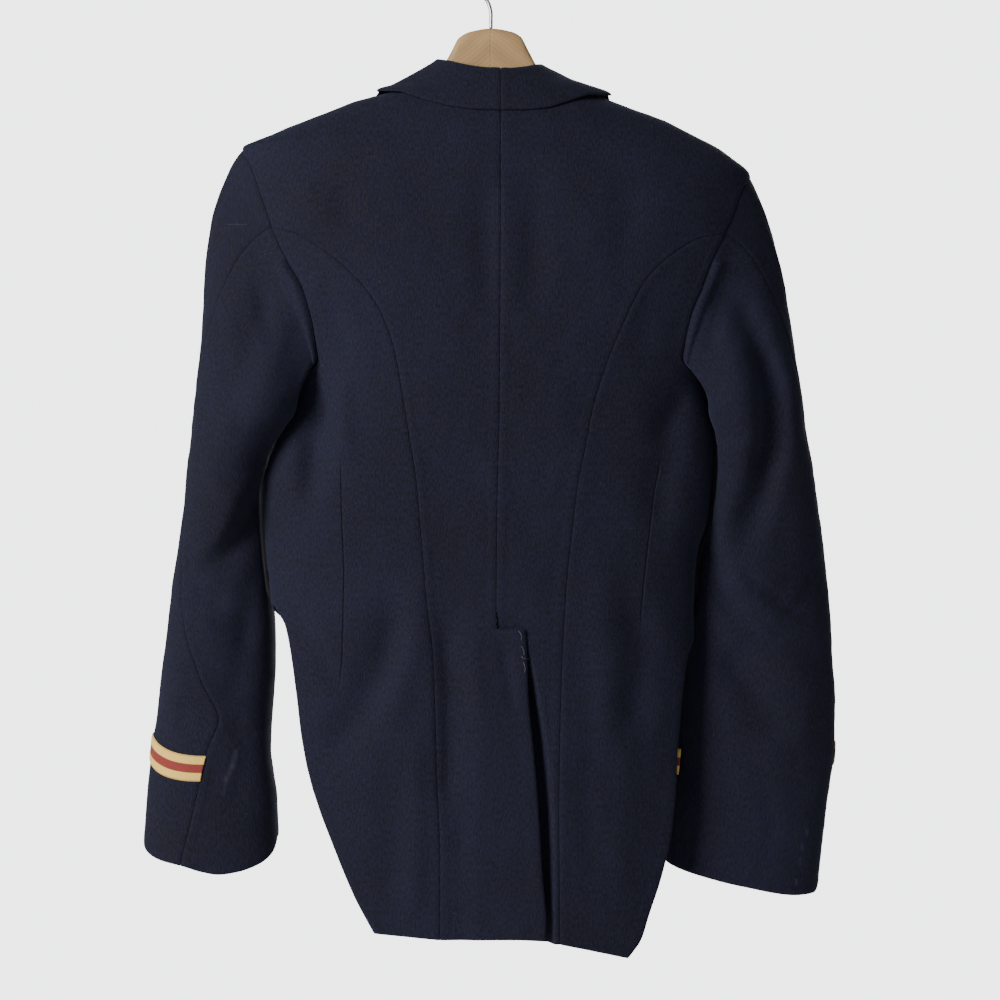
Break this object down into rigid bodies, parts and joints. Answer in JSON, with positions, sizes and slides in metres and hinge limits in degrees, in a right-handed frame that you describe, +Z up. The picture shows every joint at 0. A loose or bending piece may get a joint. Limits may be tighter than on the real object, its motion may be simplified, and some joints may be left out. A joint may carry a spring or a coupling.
{
  "type": "mess jacket on wooden hanger",
  "caption": "Tail-cut mess jacket with shawl collar, shaped back seams, back vent and banded cuffs, hanging open on a wooden hanger with a wire hook.",
  "frame": {"origin": "inside top of the hanger hook, where a rail would bear", "axes": "+Z up, -Y towards the viewer and the coat's back, +Y towards the wall and the coat's front, +X to the picture's right"},
  "size_m": [0.6507, 0.1309, 0.9243],
  "materials": {
    "wool": "matt navy wool with a fine pebbled weave",
    "braid": "flat woven braid, yellow with a red centre stripe",
    "wood": "pale beech with a thin satin varnish",
    "steel": "bright drawn wire"
  },
  "bodies": {
    "root": {"back_left": "wool", "back_right": "wool", "side_back_left": "wool", "side_back_right": "wool", "front_left": "wool", "front_right": "wool", "collar_left": "wool", "collar_right": "wool", "top_sleeve_left": "wool", "top_sleeve_right": "wool", "under_sleeve_left": "wool", "under_sleeve_right": "wool", "braid_left": "braid", "braid_right": "braid", "hanger_wood": "wood", "hanger_hook": "steel"}
  },
  "joints": []
}
